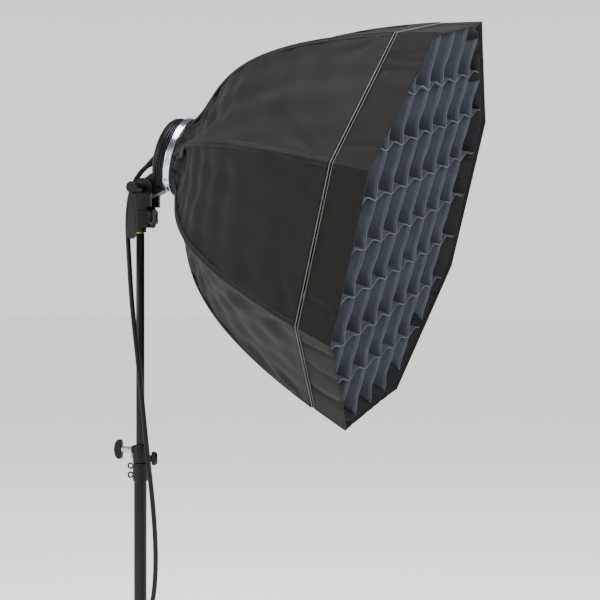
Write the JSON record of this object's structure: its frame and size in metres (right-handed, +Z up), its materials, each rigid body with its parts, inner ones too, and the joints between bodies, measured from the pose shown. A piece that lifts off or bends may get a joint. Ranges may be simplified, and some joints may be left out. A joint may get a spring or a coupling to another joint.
{
  "type": "studio softbox",
  "caption": "Octagonal fabric softbox with a grid on a small flash head, tilting on a bracket at the top of a telescopic stand column, with its cable coiled low on the tube.",
  "frame": {"origin": "middle of the lower tube's bottom end, where the column stands in its base", "axes": "+Z up along the column, +X the way the light heads in plan, +Y to the left of the light"},
  "size_m": [0.5747, 0.6386, 1.045],
  "materials": {
    "black_cloth": "woven, matt",
    "grid_cloth": "satin",
    "white_cloth": "translucent, matt",
    "black_plastic": "fine grained",
    "grey_plastic": "fine grained",
    "rubber": "matt",
    "bright_metal": "bright turned",
    "black_metal": "black anodised, satin",
    "steel": "satin",
    "brass": "satin",
    "glass": "clear",
    "board": "satin",
    "fibreglass": "pultruded"
  },
  "bodies": {
    "stand": {"lower_tube": "black_metal", "collar_lower": "black_plastic", "collar_upper": "black_plastic", "collar_bush": "grey_plastic", "lead_lower": "rubber", "lead_coil": "rubber", "lead_tail": "rubber", "lead_plug": "black_plastic", "coil_tie": "black_cloth"},
    "tee_lock": {"tee_knob": "black_plastic", "tee_knob_shaft": "steel"},
    "leg_lock": {"leg_lock_knob": "black_plastic"},
    "column": {"upper_tube": "black_metal", "guide_plug": "black_plastic", "brass_spigot": "brass", "lead_middle": "rubber"},
    "bracket": {"bracket_body": "black_plastic", "tilt_bolt": "steel", "friction_washer_1": "grey_plastic", "friction_washer_2": "grey_plastic", "lead_upper": "rubber"},
    "lever": {"lever_hub": "black_plastic", "tilt_lever": "grey_plastic"},
    "clamp": {"clamp_knob": "black_plastic", "clamp_screw": "steel"},
    "head": {"mount_arm": "black_plastic", "head_housing": "black_plastic", "rear_cap": "black_plastic", "cable_gland": "rubber", "circuit_board": "board", "lamp_heat_sink": "bright_metal", "modelling_lamp": "glass", "reflector_dish": "bright_metal", "flash_tube": "glass", "glass_cover": "glass"},
    "button": {"lamp_button": "grey_plastic"},
    "ring": {"lock_ring": "bright_metal"},
    "softbox": {"speedring": "black_plastic", "front_lip": "black_cloth", "inner_diffuser": "white_cloth", "rod_1": "fibreglass", "rod_2": "fibreglass", "rod_3": "fibreglass", "rod_4": "fibreglass", "rod_5": "fibreglass", "rod_6": "fibreglass", "rod_7": "fibreglass", "rod_8": "fibreglass", "shell_panel_1": "black_cloth", "shell_panel_2": "black_cloth", "shell_panel_3": "black_cloth", "shell_panel_4": "black_cloth", "shell_panel_5": "black_cloth", "shell_panel_6": "black_cloth", "shell_panel_7": "black_cloth", "shell_panel_8": "black_cloth"},
    "flap": {"access_flap": "black_cloth"},
    "diffuser": {"front_diffuser": "white_cloth"},
    "grid": {"grid_hem": "black_cloth", "grid_lattice": "grid_cloth"}
  },
  "joints": [
    {"name": "column_slide", "type": "slide", "parent": "stand", "child": "column", "axis": [0, 0, 1], "range_m": [-0.27, 0], "deforming": ["lead_lower"]},
    {"name": "tee_lock_turn", "type": "hinge", "parent": "stand", "child": "tee_lock", "pos_m": [-0.03, 0, 0.3907], "axis": [-1, 0, 0], "continuous": true},
    {"name": "leg_lock_turn", "type": "hinge", "parent": "stand", "child": "leg_lock", "pos_m": [0.01797, 0.00878, 0.3765], "axis": [0.8984, 0.4392, 0], "continuous": true},
    {"name": "bracket_swivel", "type": "hinge", "parent": "column", "child": "bracket", "pos_m": [0, 0, 0.75], "axis": [0, 0, 1], "continuous": true, "deforming": ["lead_middle"]},
    {"name": "clamp_knob_turn", "type": "hinge", "parent": "bracket", "child": "clamp", "pos_m": [0.02, 0, 0.7545], "axis": [1, 0, 0], "continuous": true},
    {"name": "head_tilt", "type": "hinge", "parent": "bracket", "child": "head", "pos_m": [0.012, 0, 0.798], "axis": [0, 1, 0], "range_deg": [-106.4, 28], "deforming": ["lead_upper"]},
    {"name": "tilt_lever_turn", "type": "hinge", "parent": "bracket", "child": "lever", "pos_m": [0.012, -0.05, 0.798], "axis": [0, 1, 0], "range_deg": [-25, 75]},
    {"name": "lamp_button_press", "type": "slide", "parent": "head", "child": "button", "axis": [0.9593, 0, -0.2823], "range_m": [0, 0.0014], "stiffness_N_per_m": 400},
    {"name": "softbox_removal", "type": "slide", "parent": "head", "child": "ring", "axis": [0.9593, 0, -0.2823], "range_m": [0, 0.1]},
    {"name": "softbox_turn", "type": "hinge", "parent": "ring", "child": "softbox", "pos_m": [0.08609, 0, 0.84305], "axis": [0.9593, 0, -0.2823], "continuous": true},
    {"name": "access_flap_open", "type": "hinge", "parent": "softbox", "child": "flap", "pos_m": [0.10697, -0.09379, 0.85355], "axis": [-0.5159, 0.8565, -0.0179], "range_deg": [0, 40]},
    {"name": "diffuser_removal", "type": "slide", "parent": "softbox", "child": "diffuser", "axis": [0.9593, 0, -0.2823], "range_m": [0, 0.08]},
    {"name": "grid_removal", "type": "slide", "parent": "diffuser", "child": "grid", "axis": [0.9593, 0, -0.2823], "range_m": [0, 0.08]}
  ]
}
